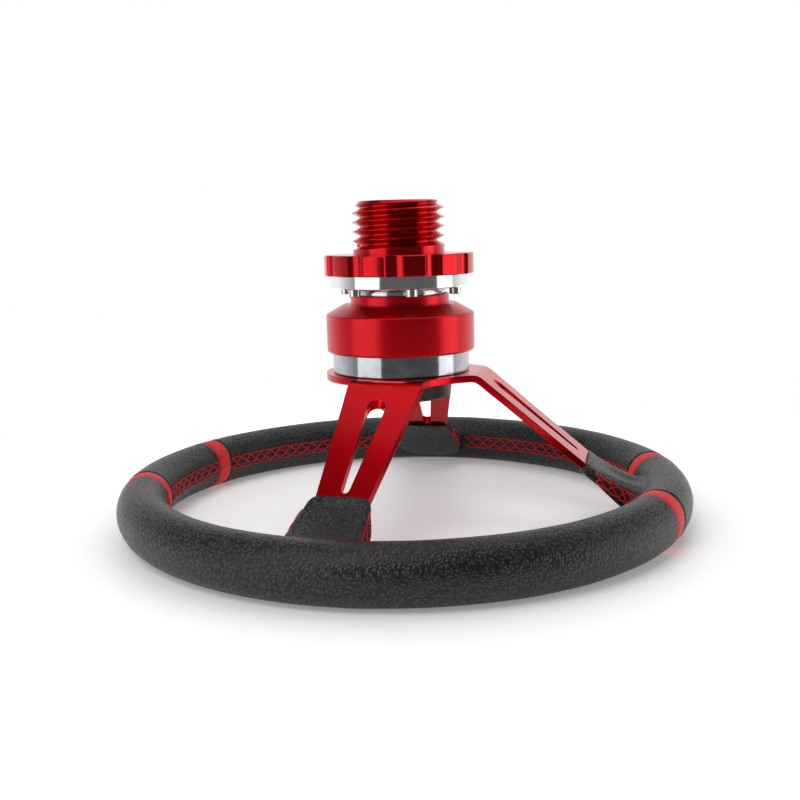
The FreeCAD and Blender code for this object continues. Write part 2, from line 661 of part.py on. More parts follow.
def main():
    os.makedirs("parts", exist_ok=True)
    plate = spider()
    inside_rim = [plate, rim_hoop(), Part.makeCompound(foot_rivets())]
    write("spider", plate)
    write("wheel_screws", wheel_screws())
    write("rim_hoop", inside_rim[1])
    write("foot_rivets", inside_rim[2])
    write("rim_foam", rim_foam(inside_rim))

    near = BAND_OFFSET_DEG - BAND_WIDTH_DEG / 2.0
    far = BAND_OFFSET_DEG + BAND_WIDTH_DEG / 2.0
    write("leather_top", rim_cover(90.0 - near, 90.0 + near, 0.0, None))
    write("leather_bottom", rim_cover(270.0 - near, 270.0 + near, 0.0, plate))
    write("grip_left", rim_cover(90.0 + far, 270.0 - far, 0.0, plate))
    write("grip_right", rim_cover(-90.0 + far, 90.0 - far, 0.0, plate))
    write("band_top_right", rim_cover(90.0 - far, 90.0 - near, BAND_PROUD, None))
    write("band_top_left", rim_cover(90.0 + near, 90.0 + far, BAND_PROUD, None))
    write("band_bottom_left", rim_cover(270.0 - far, 270.0 - near, BAND_PROUD, None))
    write("band_bottom_right", rim_cover(270.0 + near, 270.0 + far, BAND_PROUD, None))

    side_low, side_high = SIDE_LOWER_END[1], SIDE_UPPER_END[1]
    right = spoke_sleeve(SIDE_BEND_R, side_low, side_high, 0.0, plate)
    left = right.mirror(ORIGIN, V(1, 0, 0))
    half = BOTTOM_EDGE[0]
    bottom = spoke_sleeve(BOTTOM_BEND_R, -half, half, -90.0, plate)
    write("sleeve_right", right)
    write("sleeve_left", left)
    write("sleeve_bottom", bottom)

    write("horn_housing", horn_housing())
    write("horn_bezel", horn_bezel())
    write("horn_terminals", horn_terminals())
    write("horn_fixed_contact", horn_fixed_contact())
    write("horn_cap", horn_cap())
    write("horn_moving_contact", horn_moving_contact())
    write("horn_spring", coil(HORN_SPRING_R, HORN_SPRING_WIRE, HORN_SPRING_TURNS,
                              CAP_LIP_TOP - 1.2, HORN_CEILING))

    write("coupler_body", coupler_body())
    write("sleeve_snap_ring", sleeve_snap_ring())
    write("collar_spring", coil(COLLAR_SPRING_R, COLLAR_SPRING_WIRE, COLLAR_SPRING_TURNS,
                                FLANGE_TOP, WEB_BOTTOM))
    write("release_collar", release_collar())
    for number, ball in enumerate(locking_balls(), 1):
        write("ball_%d" % number, ball)

    write("spigot", spigot())
    write("mounting_disc", mounting_disc())
    write("hub_cap_screws", hub_cap_screws())
    write("scalloped_flange", scalloped_flange())
    write("column_boss", column_boss())


main()
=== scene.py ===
"""The looks of the quick release steering wheel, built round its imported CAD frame. Metres.

The wheel lies face down: its hub stands up along +Z, 12 o'clock is +Y and 6 o'clock is -Y.
"""
import math

import bpy
import numpy as np
from mathutils import Matrix, Vector


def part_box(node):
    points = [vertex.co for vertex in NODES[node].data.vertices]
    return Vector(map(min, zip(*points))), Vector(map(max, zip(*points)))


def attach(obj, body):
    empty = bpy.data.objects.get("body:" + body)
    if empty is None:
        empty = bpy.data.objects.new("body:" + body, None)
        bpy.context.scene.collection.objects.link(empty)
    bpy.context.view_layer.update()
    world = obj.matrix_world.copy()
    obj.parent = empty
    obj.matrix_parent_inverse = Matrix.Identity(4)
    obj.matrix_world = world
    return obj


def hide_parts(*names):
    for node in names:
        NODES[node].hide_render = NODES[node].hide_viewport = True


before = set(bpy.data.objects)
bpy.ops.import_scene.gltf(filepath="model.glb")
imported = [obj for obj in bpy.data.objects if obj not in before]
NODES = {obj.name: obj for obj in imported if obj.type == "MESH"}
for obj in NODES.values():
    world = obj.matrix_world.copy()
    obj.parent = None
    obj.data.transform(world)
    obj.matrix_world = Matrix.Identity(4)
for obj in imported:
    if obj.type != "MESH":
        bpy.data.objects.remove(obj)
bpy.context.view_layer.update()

MM = 0.001
HALF_TURN = math.pi
FULL_TURN = 2.0 * math.pi

# The rim, from its CAD grips
GRIP_LOW, GRIP_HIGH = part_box("grip_right")
RIM_HALF_WIDTH = 15.0 * MM
RIM_HALF_HEIGHT = 0.5 * (GRIP_HIGH.z - GRIP_LOW.z)
RIM_LEVEL = 0.5 * (GRIP_HIGH.z + GRIP_LOW.z)
RIM_RADIUS = GRIP_HIGH.x - RIM_HALF_WIDTH
BAND_OFFSET = math.radians(17.5)
BAND_HALF = math.radians(2.2)
TWELVE = math.radians(90.0)
SIX = math.radians(270.0)
SEAM_ANGLE = HALF_TURN
RIM_SIDES = 132
TUCK_DEPTH = 2.2 * MM
END_LENGTH = 3.0 * MM
END_STEPS = (0.0, 0.15, 0.4, 0.8, 1.3, 2.0)

# The spokes' feet, which the sleeves cover
SPOKE_SLOPE = math.radians(39.6)
PLATE_THICK = 4.0 * MM
PLATE_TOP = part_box("spider")[1].z
SIDE_BEND = 48.3 * MM
BOTTOM_BEND = 50.4 * MM
SIDE_FOOT = (-6.0 * MM, 22.2 * MM)
BOTTOM_FOOT = 17.4 * MM

# The sleeves: where they start down the spoke, their skin and their flare to each side of the foot
SLEEVE_START = 82.0 * MM
SLEEVE_MARGIN = 1.3 * MM
SKIN_OVER = 1.4 * MM
SKIN_UNDER = 2.2 * MM
FLARE_SHORT = 7.0 * MM
FLARE_LONG = 16.0 * MM
FLARE_BOTTOM = 8.0 * MM
FLARE_REACH = 22.0 * MM
FOOT_CENTRE = math.radians(172.0)
FOOT_RISE_OVER = math.radians(36.0)
FOOT_RISE_UNDER = math.radians(60.0)
FOOT_SINK = 0.15 * MM
LEAVE_OVER, LEAVE_EXTRA_UNDER = 14.0 * MM, 22.0 * MM
LAND_OVER, LAND_EXTRA_UNDER = 9.0 * MM, 3.0 * MM
LAND_INWARDS = (0.90, 0.0, -0.43)
SLEEVE_ROWS = 56
SLEEVE_COLUMNS = 144

# Stitches: on the rim the seam stops short of the bands and of the sleeves' feet
STITCH_PITCH = 9.0 * MM
STITCH_RISE = 3.6 * MM
THREAD_RADIUS = 0.27 * MM
BAND_CLEARANCE = 0.006
FOOT_CLEARANCE = 25.0 * MM
SIDE_FOOT_ANGLE = 0.06
SLEEVE_STITCHES = 4
SEAM_DROPS = (0.16, 0.16, 0.0)


# ---------------------------------------------------------------- mesh helpers

def new_object(name, vertices, faces, smooth=True):
    mesh = bpy.data.meshes.new(name)
    mesh.from_pydata([tuple(v) for v in vertices], [], faces)
    mesh.update()
    if smooth:
        mesh.polygons.foreach_set("use_smooth", [True] * len(mesh.polygons))
    piece = bpy.data.objects.new(name, mesh)
    bpy.context.scene.collection.objects.link(piece)
    return piece


def grid_faces(rows, columns):
    """Quads of a grid whose rows are closed rings."""
    faces = []
    for low in range(0, (rows - 1) * columns, columns):
        high = low + columns
        for j in range(columns):
            k = (j + 1) % columns
            faces.append((low + j, low + k, high + k, high + j))
    return faces


def tube_along(path, radius, sides=6):
    """Vertices and faces of a thin round tube along a line of points."""
    path = np.asarray(path)
    along = np.gradient(path, axis=0)
    along /= np.linalg.norm(along, axis=1)[:, None]
    helper = np.array([0.0, 0.0, 1.0])
    side = np.cross(along, helper)
    weak = np.linalg.norm(side, axis=1) < 0.05
    side[weak] = np.cross(along[weak], np.array([1.0, 0.0, 0.0]))
    side /= np.linalg.norm(side, axis=1)[:, None]
    up = np.cross(side, along)
    angles = np.linspace(0.0, FULL_TURN, sides, endpoint=False)
    rings = (path[:, None, :] + radius * (np.cos(angles)[None, :, None] * side[:, None, :]
                                          + np.sin(angles)[None, :, None] * up[:, None, :]))
    vertices = rings.reshape(-1, 3)
    faces = grid_faces(len(path), sides)
    faces.append(tuple(range(sides))[::-1])
    faces.append(tuple(range(len(vertices) - sides, len(vertices))))
    return vertices, faces


def thread_object(name, paths, radius):
    """One object of many short threads."""
    vertices, faces = [], []
    for path in paths:
        tube, quads = tube_along(path, radius)
        first = len(vertices)
        vertices.extend(tube)
        faces.extend(tuple(first + i for i in quad) for quad in quads)
    return new_object(name, vertices, faces)


# ---------------------------------------------------------------- materials

class Nodes:
    """A short way to write a material's node tree."""

    def __init__(self, name):
        self.material = bpy.data.materials.new(name)
        self.material.use_nodes = True
        self.tree = self.material.node_tree
        self.tree.nodes.clear()
        output = self.tree.nodes.new("ShaderNodeOutputMaterial")
        self.shader = self.tree.nodes.new("ShaderNodeBsdfPrincipled")
        self.tree.links.new(self.shader.outputs[0], output.inputs["Surface"])
        place = self.tree.nodes.new("ShaderNodeTexCoord")
        self.place = place.outputs["Object"]

    def add(self, kind, values=(), **settings):
        node = self.tree.nodes.new("ShaderNode" + kind)
        for key, value in settings.items():
            setattr(node, key, value)
        for key, value in dict(values).items():
            self.feed(node.inputs[key], value)
        return node

    def feed(self, socket, value):
        if isinstance(value, bpy.types.NodeSocket):
            self.tree.links.new(value, socket)
        else:
            socket.default_value = value

    def math(self, operation, a, b=0.0):
        return self.add("Math", {0: a, 1: b}, operation=operation).outputs[0]

    def blend(self, a, share_a, b, share_b):
        return self.math("ADD", self.math("MULTIPLY", a, share_a), self.math("MULTIPLY", b, share_b))

    def noise(self, scale, detail=3.0, roughness=0.5, vector=None):
        node = self.add("TexNoise", {"Vector": vector or self.place, "Scale": scale,
                                     "Detail": detail, "Roughness": roughness})
        return node.outputs[0]

    def between(self, factor, low, high, start=0.0, end=1.0):
        node = self.add("MapRange", {0: factor, 1: start, 2: end, 3: low, 4: high})
        return node.outputs[0]

    def colours(self, factor, low, high):
        node = self.add("Mix", {0: factor, 6: (*low, 1.0), 7: (*high, 1.0)}, data_type="RGBA")
        return node.outputs[2]

    def bump(self, height, strength, distance, normal=None):
        values = {"Height": height, "Strength": strength, "Distance": distance}
        if normal is not None:
            values["Normal"] = normal
        return self.add("Bump", values).outputs[0]

    def polar(self):
        """Radius from the column axis, and that with the height as a vector for turned marks."""
        x, y, z = self.add("SeparateXYZ", {0: self.place}).outputs
        across = self.math("SQRT", self.blend(x, x, y, y))
        turned = self.add("CombineXYZ", {0: across, 1: z, 2: 0.0}).outputs[0]
        return across, turned

    def finish(self, **values):
        for key, value in values.items():
            self.feed(self.shader.inputs[key.replace("_", " ")], value)
        return self.material


def grained_leather(name, dark, light, grain, depth, rough):
    """Pebbled leather: cells with soft valleys, fine creases and a slow change of tone."""
    n = Nodes(name)
    wander = n.add("TexNoise", {"Vector": n.place, "Scale": 260.0, "Detail": 2.0}).outputs[1]
    shifted = n.add("VectorMath", {0: wander, 1: (0.7 * MM,) * 3}, operation="MULTIPLY").outputs[0]
    place = n.add("VectorMath", {0: n.place, 1: shifted}, operation="ADD").outputs[0]
    cells = n.add("TexVoronoi", {"Vector": place, "Scale": grain, "Randomness": 0.8})
    pebble = n.between(cells.outputs["Distance"], 1.0, 0.0, 0.10, 0.62)
    small = n.add("TexVoronoi", {"Vector": place, "Scale": grain * 2.3}, feature="SMOOTH_F1")
    fine = n.between(small.outputs["Distance"], 1.0, 0.0, 0.0, 0.9)
    pores = n.noise(4200.0, 2.0)
    slow = n.noise(38.0, 3.0, 0.6)
    height = n.math("ADD", n.blend(pebble, 0.72, fine, 0.24), n.math("MULTIPLY", pores, 0.05))
    colour = n.colours(n.blend(pebble, 0.75, slow, 0.25), dark, light)
    roughness = n.between(pebble, rough[1], rough[0])
    normal = n.bump(height, 1.0, depth * MM)
    shine = n.between(pebble, 0.35, 0.75)
    return n.finish(Base_Color=colour, Roughness=roughness, Normal=normal, Specular_IOR_Level=shine)


def thread_material(name, dark, light):
    """Waxed thread with a twist and a little fluff."""
    n = Nodes(name)
    fibre = n.noise(5200.0, 2.0)
    slow = n.noise(180.0, 2.0)
    colour = n.colours(n.blend(fibre, 0.5, slow, 0.5), dark, light)
    normal = n.bump(fibre, 0.5, 0.1 * MM)
    return n.finish(Base_Color=colour, Roughness=0.6, Normal=normal, Specular_IOR_Level=0.2)


def anodised_red(name, rough, grooves, edge):
    """Turned aluminium, dyed red: fine turning marks, a slow tone change and softened edges."""
    n = Nodes(name)
    _, turned = n.polar()
    marks = n.noise(grooves, 2.0, 0.6, turned)
    slow = n.noise(24.0, 2.0)
    dust = n.noise(900.0, 3.0, 0.7)
    colour = n.colours(n.blend(slow, 0.7, marks, 0.3), (0.50, 0.001, 0.006), (0.66, 0.004, 0.012))
    spread = n.blend(marks, 0.6, dust, 0.4)
    roughness = n.between(spread, rough - 0.05, rough + 0.07, 0.3, 0.7)
    soft = n.add("Bevel", {"Radius": edge * MM}, samples=4).outputs[0]
    normal = n.bump(marks, 0.05, 0.02 * MM, soft)
    return n.finish(Base_Color=colour, Metallic=1.0, Roughness=roughness, Normal=normal,
                    Coat_Weight=0.30, Coat_Roughness=0.20)


def painted_spider(name):
    """Bright red lacquer over the bent plate, with a faint orange peel."""
    n = Nodes(name)
    peel = n.noise(520.0, 2.0, 0.5)
    slow = n.noise(18.0, 2.0)
    dust = n.noise(1500.0, 3.0, 0.7)
    colour = n.colours(slow, (0.50, 0.0004, 0.0040), (0.60, 0.0010, 0.0070))
    roughness = n.between(dust, 0.18, 0.26, 0.3, 0.7)
    soft = n.add("Bevel", {"Radius": 0.9 * MM}, samples=6).outputs[0]
    normal = n.bump(peel, 0.06, 0.05 * MM, soft)
    return n.finish(Base_Color=colour, Metallic=1.0, Roughness=roughness, Normal=normal,
                    Coat_Weight=0.16, Coat_Roughness=0.08)


def polished_metal(name, low, high, rough, grooves=2600.0, edge=0.3):
    """Polished or turned bare metal with fine rings, smears and small scratches."""
    n = Nodes(name)
    _, turned = n.polar()
    rings = n.noise(grooves, 2.0, 0.6, turned)
    smear = n.noise(70.0, 4.0, 0.65)
    scratches = n.noise(1400.0, 1.0, 0.5)
    colour = n.colours(smear, low, high)
    spread = n.blend(smear, 0.6, scratches, 0.4)
    roughness = n.between(spread, rough, rough + 0.12, 0.35, 0.75)
    soft = n.add("Bevel", {"Radius": edge * MM}, samples=4).outputs[0]
    normal = n.bump(rings, 0.06, 0.02 * MM, soft)
    return n.finish(Base_Color=colour, Metallic=1.0, Roughness=roughness, Normal=normal)


def moulded_plastic(name, tone):
    """Black plastic with a fine spark-eroded grain."""
    n = Nodes(name)
    grain = n.noise(2600.0, 4.0, 0.7)
    slow = n.noise(30.0, 2.0)
    colour = n.colours(slow, (tone * 0.8,) * 3, (tone * 1.25,) * 3)
    roughness = n.between(grain, 0.38, 0.55, 0.3, 0.7)
    soft = n.add("Bevel", {"Radius": 0.4 * MM}, samples=4).outputs[0]
    normal = n.bump(grain, 0.35, 0.05 * MM, soft)
    return n.finish(Base_Color=colour, Roughness=roughness, Normal=normal)


def foam_material(name):
    """Dark moulded foam with small round cells."""
    n = Nodes(name)
    cells = n.add("TexVoronoi", {"Vector": n.place, "Scale": 1600.0}).outputs["Distance"]
    colour = n.colours(cells, (0.02, 0.02, 0.02), (0.06, 0.06, 0.06))
    normal = n.bump(cells, 0.4, 0.1 * MM)
    return n.finish(Base_Color=colour, Roughness=0.9, Normal=normal)


LEATHER = grained_leather("black_leather", (0.001, 0.001, 0.001), (0.009, 0.0085, 0.009),
                          680.0, 0.34, (0.27, 0.42))
RED_LEATHER = grained_leather("red_leather", (0.62, 0.004, 0.008), (0.86, 0.020, 0.026),
                              1150.0, 0.20, (0.42, 0.58))
THREAD = thread_material("red_thread", (0.66, 0.001, 0.004), (0.92, 0.008, 0.014))
COLLAR_RED = anodised_red("satin_red", 0.34, 2200.0, 0.6)
BOSS_RED = anodised_red("bright_red", 0.19, 1500.0, 0.4)
SPIDER_RED = painted_spider("lacquer_red")
POLISHED = polished_metal("polished_aluminium", (0.80, 0.80, 0.82), (0.90, 0.90, 0.91), 0.05)
MIRROR = polished_metal("mirror_aluminium", (0.26, 0.27, 0.30), (0.66, 0.67, 0.70), 0.07, 1400.0)
BRIGHT = polished_metal("bright_steel", (0.62, 0.61, 0.60), (0.76, 0.75, 0.74), 0.10, 3200.0, 0.15)
STEEL = polished_metal("turned_steel", (0.50, 0.50, 0.51), (0.62, 0.62, 0.63), 0.22, 1800.0, 0.2)
DARK_STEEL = polished_metal("black_bar", (0.10, 0.10, 0.11), (0.18, 0.18, 0.19), 0.38, 900.0, 0.3)
BRASS = polished_metal("spring_brass", (0.70, 0.48, 0.20), (0.82, 0.60, 0.28), 0.20, 1800.0, 0.1)
PLASTIC = moulded_plastic("black_plastic", 0.018)
FOAM = foam_material("moulded_foam")

NODE_MATERIALS = {
    "spider": SPIDER_RED, "release_collar": COLLAR_RED, "column_boss": BOSS_RED,
    "scalloped_flange": BOSS_RED,
    "coupler_body": MIRROR, "mounting_disc": POLISHED, "spigot": STEEL,
    "wheel_screws": BRIGHT, "hub_cap_screws": BRIGHT, "sleeve_snap_ring": BRIGHT,
    "collar_spring": STEEL, "horn_spring": STEEL, "rim_hoop": DARK_STEEL, "foot_rivets": DARK_STEEL,
    "rim_foam": FOAM, "horn_housing": PLASTIC, "horn_bezel": PLASTIC, "horn_cap": PLASTIC,
    "horn_terminals": BRASS, "horn_fixed_contact": BRASS, "horn_moving_contact": BRASS,
}


def dress_cad_nodes():
    for name, node in NODES.items():
        material = NODE_MATERIALS.get(name, BRIGHT if name.startswith("ball_") else LEATHER)
        node.data.materials.clear()
        node.data.materials.append(material)


def dress(piece, material):
    piece.data.materials.append(material)
    return piece


# ---------------------------------------------------------------- rim

def rim_point(azimuth, section, lift):
    """Points of the rim's oval surface; section is 0 outside, 90 degrees on top, 180 inside."""
    radius = RIM_RADIUS + (RIM_HALF_WIDTH + lift) * np.cos(section)
    height = RIM_LEVEL + (RIM_HALF_HEIGHT + lift) * np.sin(section)
    return np.stack([radius * np.cos(azimuth), radius * np.sin(azimuth), height], axis=-1)


def section_angles(count):
    """Angles round the section, closer together at the seam."""
    even = np.linspace(-HALF_TURN, HALF_TURN, count, endpoint=False)
    return SEAM_ANGLE + even - 0.55 * np.sin(even)


def seam_distance(section):
    """How far round the section a point lies from the inner seam."""
    return np.abs((section - SEAM_ANGLE + HALF_TURN) % FULL_TURN - HALF_TURN) * RIM_HALF_HEIGHT


def hand_wrap(azimuth, section):
    """The small unevenness of leather drawn over foam by hand."""
    slow = np.sin(7.0 * azimuth + 1.3 * np.sin(section)) * np.sin(2.0 * section + 3.0 * azimuth)
    quick = np.sin(31.0 * azimuth + 2.0) * np.cos(3.0 * section + 5.0 * azimuth)
    return (0.12 * slow + 0.05 * quick) * MM


def stitch_pull(azimuth, section):
    """Hollows where the stitches draw the two edges together."""
    pitch = STITCH_PITCH / (RIM_RADIUS - RIM_HALF_WIDTH)
    phase = np.cos(FULL_TURN * azimuth / pitch)
    rail = seam_distance(section) - STITCH_RISE
    return -0.22 * MM * np.exp(-(rail / (1.1 * MM)) ** 2) * (0.6 + 0.4 * phase)


def leather_lift(azimuth, section, start, end):
    """Height of a black section over the rim's oval: a seam, pulled stitches and turned-in ends."""
    to_end = np.minimum(azimuth - start, end - azimuth) * RIM_RADIUS
    turned_in = -0.95 * MM * np.exp(-(np.maximum(to_end, 0.0) / (0.75 * MM)) ** 1.6)
    thick_edge = 0.16 * MM * np.exp(-((to_end - 2.2 * MM) / (1.8 * MM)) ** 2)
    seam = -0.65 * MM * np.exp(-(seam_distance(section) / (0.55 * MM)) ** 2)
    crown = 0.15 * MM * np.exp(-((seam_distance(section) - 1.6 * MM) / (1.2 * MM)) ** 2)
    drawn = stitch_pull(azimuth, section) + hand_wrap(azimuth, section)
    return turned_in + thick_edge + seam + crown + drawn


def band_lift(azimuth, section, start, end):
    """Height of a red band: a gentle crown between two tucked edges, and its own joint inside."""
    place = (azimuth - 0.5 * (start + end)) / (0.5 * (end - start))
    crown = 0.05 * MM - 0.75 * MM * np.abs(place) ** 7
    seam = -0.35 * MM * np.exp(-(seam_distance(section) / (0.5 * MM)) ** 2)
    return crown + seam + 0.5 * hand_wrap(azimuth, section)


def rim_piece(name, start, end, lift, spacing, material):
    """A length of rim covering between two azimuths, with its ends turned down to the foam."""
    rows = int((end - start) * RIM_RADIUS / spacing)
    ends = np.array(END_STEPS) * MM / RIM_RADIUS
    middle = np.linspace(start + END_LENGTH / RIM_RADIUS, end - END_LENGTH / RIM_RADIUS, rows)
    azimuths = np.concatenate([start + ends, middle, (end - ends)[::-1]])
    sections = section_angles(RIM_SIDES)
    grid_azimuth, grid_section = np.meshgrid(azimuths, sections, indexing="ij")
    surface = rim_point(grid_azimuth, grid_section, lift(grid_azimuth, grid_section, start, end))
    tuck = rim_point(grid_azimuth[:1], grid_section[:1], -TUCK_DEPTH)
    tuck_end = rim_point(grid_azimuth[-1:], grid_section[-1:], -TUCK_DEPTH)
    points = np.concatenate([tuck, surface, tuck_end])
    piece = new_object(name, points.reshape(-1, 3), grid_faces(len(points), len(sections)))
    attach(piece, "wheel")
    return dress(piece, material)


def rim_cover():
    """Four lengths of black leather with four red bands between them."""
    near = BAND_OFFSET - BAND_HALF
    far = BAND_OFFSET + BAND_HALF
    leather = [
        ("leather_top", TWELVE - near, TWELVE + near),
        ("grip_left", TWELVE + far, SIX - far),
        ("leather_bottom", SIX - near, SIX + near),
        ("grip_right", SIX - FULL_TURN + far, TWELVE - far),
    ]
    for node, start, end in leather:
        piece = rim_piece(node + "_skin", start, end, leather_lift, 1.0 * MM, LEATHER)
        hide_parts(node)
    bands = [
        ("band_top_right", TWELVE - far, TWELVE - near),
        ("band_top_left", TWELVE + near, TWELVE + far),
        ("band_bottom_left", SIX - far, SIX - near),
        ("band_bottom_right", SIX + near, SIX + far),
    ]
    for node, start, end in bands:
        piece = rim_piece(node + "_skin", start, end, band_lift, 0.7 * MM, RED_LEATHER)
        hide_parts(node)


# ---------------------------------------------------------------- spoke sleeves

def rounded(wave, power):
    """A cosine or sine squared off by its power, as in the outline of a rounded slot."""
    return np.sign(wave) * np.abs(wave) ** power


def unit(vectors, least=1e-12):
    return vectors / np.maximum(np.linalg.norm(vectors, axis=-1)[..., None], least)


class Sleeve:
    """A leather sleeve from its mouth on the spoke to the rim, as a surface of (along, around).

    low and high are the spoke's edges, and turn brings the sleeve from +X to its own spoke.
    """

    def __init__(self, bend_r, low, high, flare_low, flare_high, turn):
        self.turn = turn
        self.middle = 0.5 * (low + high)
        self.half = 0.5 * (high - low) + SLEEVE_MARGIN
        self.flare_low = flare_low
        self.flare_high = flare_high
        self.mouth_r = bend_r + SLEEVE_START * math.cos(SPOKE_SLOPE)
        self.mouth_z = PLATE_TOP - SLEEVE_START * math.sin(SPOKE_SLOPE)

    def mouth(self, around):
        """A rounded slot shape about the spoke's thickness, square to its slope."""
        cosine, sine = np.cos(around), np.sin(around)
        across = self.half * rounded(cosine, 0.42)
        skin = np.where(sine > 0.0, SKIN_OVER, SKIN_UNDER)
        rise = (0.5 * PLATE_THICK + skin) * rounded(sine, 0.55) - 0.5 * PLATE_THICK
        r = self.mouth_r + rise * math.sin(SPOKE_SLOPE)
        z = self.mouth_z + rise * math.cos(SPOKE_SLOPE)
        return np.stack([r, self.middle + across, z], axis=-1)

    def foot(self, around, spread=1.0):
        """Where the sleeve lands on the rim, as (azimuth, section angle)."""
        cosine, sine = np.cos(around), np.sin(around)
        reach = np.where(cosine > 0.0, self.half + self.flare_high, self.half + self.flare_low)
        across = self.middle + spread * reach * rounded(cosine, 0.75)
        azimuth = across / (RIM_RADIUS - 0.6 * RIM_HALF_WIDTH)
        rise = np.where(sine > 0.0, FOOT_RISE_OVER, FOOT_RISE_UNDER)
        section = FOOT_CENTRE - spread * rise * rounded(sine, 0.85)
        return azimuth, section

    def point(self, along, around):
        """Bezier surface from the mouth, leaving along the spoke, to the rim, landing flush on top."""
        start = self.mouth(around)
        under = np.clip(-2.0 * np.sin(around), 0.0, 1.0)[..., None]
        side = rounded(np.cos(around), 3)
        spread_out = np.where(side > 0.0, self.flare_high, self.flare_low) * side / FLARE_REACH
        leave = np.stack([np.full_like(side, math.cos(SPOKE_SLOPE)), spread_out,
                          np.full_like(side, -math.sin(SPOKE_SLOPE))], axis=-1)
        leave = leave * (LEAVE_OVER + LEAVE_EXTRA_UNDER * under)
        azimuth, section = self.foot(around)
        end = rim_point(azimuth, section, -FOOT_SINK)
        outer_azimuth, outer_section = self.foot(around, 1.12)
        spread = unit(rim_point(outer_azimuth, outer_section, -FOOT_SINK) - end, 1e-9)
        land = unit(spread * (1.0 - under) + np.array(LAND_INWARDS) * under)
        land = land * (LAND_OVER + LAND_EXTRA_UNDER * under)
        t = along[..., None]
        u = 1.0 - t
        return (u ** 3 * start + 3.0 * u ** 2 * t * (start + leave)
                + 3.0 * u * t ** 2 * (end - land) + t ** 3 * end)

    def surface(self, along, around, lift):
        """The surface turned to its spoke, with the lift laid along its normal."""
        step = 1e-3
        here = self.point(along, around)
        by_along = self.point(along + step, around) - here
        by_around = self.point(along, around + step) - here
        normal = unit(np.cross(by_around, by_along))
        return self.placed(here + normal * lift[..., None])

    def placed(self, points):
        """The points turned about the column axis to the sleeve's own spoke."""
        cosine, sine = math.cos(self.turn), math.sin(self.turn)
        x = points[..., 0] * cosine - points[..., 1] * sine
        y = points[..., 0] * sine + points[..., 1] * cosine
        return np.stack([x, y, points[..., 2]], axis=-1)


def sleeve_lift(along, around):
    """A rolled lip, the tuck behind it and the creases of leather gathered round the foot."""
    lip = 0.30 * MM * np.exp(-((along - 0.06) / 0.05) ** 2) * (1.0 + 0.5 * np.sin(5.0 * around))
    tuck = -0.22 * MM * np.exp(-((along - 0.17 - 0.02 * np.sin(3.0 * around)) / 0.05) ** 2)
    folds = 0.14 * MM * np.sin(9.0 * around + 4.0 * along) * np.sin(HALF_TURN * along) ** 2
    edge = np.minimum(np.abs(np.sin(0.5 * around)), np.abs(np.cos(0.5 * around)))
    seam = -0.4 * MM * np.exp(-(edge / 0.035) ** 2) * np.minimum(1.0, 8.0 * along)
    return lip + tuck + folds + seam


def sleeve_piece(name, node, sleeve):
    """The sleeve's skin, with its mouth turned in against the spoke."""
    steps = np.linspace(0.0, 1.0, SLEEVE_ROWS) ** 1.15
    turns = np.linspace(0.0, FULL_TURN, SLEEVE_COLUMNS, endpoint=False)
    along, around = np.meshgrid(steps, turns, indexing="ij")
    outside = sleeve.surface(along, around, sleeve_lift(along, around))
    ring = np.ones((1, SLEEVE_COLUMNS)) * MM
    inner = sleeve.surface(along[:1] + 0.03, around[:1], -1.5 * ring)
    edge = sleeve.surface(along[:1], around[:1], -0.9 * ring)
    points = np.concatenate([inner, edge, outside])
    piece = new_object(name, points.reshape(-1, 3), grid_faces(len(points), SLEEVE_COLUMNS))
    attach(piece, "wheel")
    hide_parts(node)
    return dress(piece, LEATHER)


# ---------------------------------------------------------------- stitching

def cross_stitches(place, count):
    """Threads of a cross-stitched seam; place(step, side, lift) gives a point on the leather.

    Step counts stitches along the seam, and side runs from -1 to 1 across it.
    """
    paths = []
    fine = np.linspace(0.0, 1.0, 9)
    arch = np.sin(HALF_TURN * fine)
    for i in range(count):
        paths.append(place(i + fine, -1.0 + 2.0 * fine, THREAD_RADIUS * (0.3 + 1.2 * arch)))
        paths.append(place(i + fine, 1.0 - 2.0 * fine, THREAD_RADIUS * (0.3 + 2.2 * arch)))
        for side in (-1.0, 1.0):
            bow = side * (1.0 + 0.16 * arch)
            paths.append(place(i + fine, bow, THREAD_RADIUS * (0.2 + 0.9 * arch)))
    return paths


def rim_seam(start, end):
    """Whole stitches along the rim's inner side, from start to end."""
    inner = RIM_RADIUS - RIM_HALF_WIDTH
    count = round((end - start) * inner / STITCH_PITCH)
    pitch = (end - start) / count

    def place(step, side, lift):
        azimuth = start + pitch * step
        section = SEAM_ANGLE - side * STITCH_RISE / RIM_HALF_HEIGHT
        ground = np.maximum(stitch_pull(azimuth, section), -0.1 * MM) + hand_wrap(azimuth, section)
        return rim_point(azimuth, section, ground + lift)

    return cross_stitches(place, count)


def sleeve_seam(sleeve, side_angle, drop):
    """Stitches down one side of a sleeve; drop moves the seam towards its underside."""
    def place(step, side, lift):
        along = 0.16 + 0.66 * step / SLEEVE_STITCHES
        width = 0.20 + 0.05 * along
        around = side_angle - drop * math.cos(side_angle) + width * side
        return sleeve.surface(along, around, 0.1 * MM + lift)

    return cross_stitches(place, SLEEVE_STITCHES)


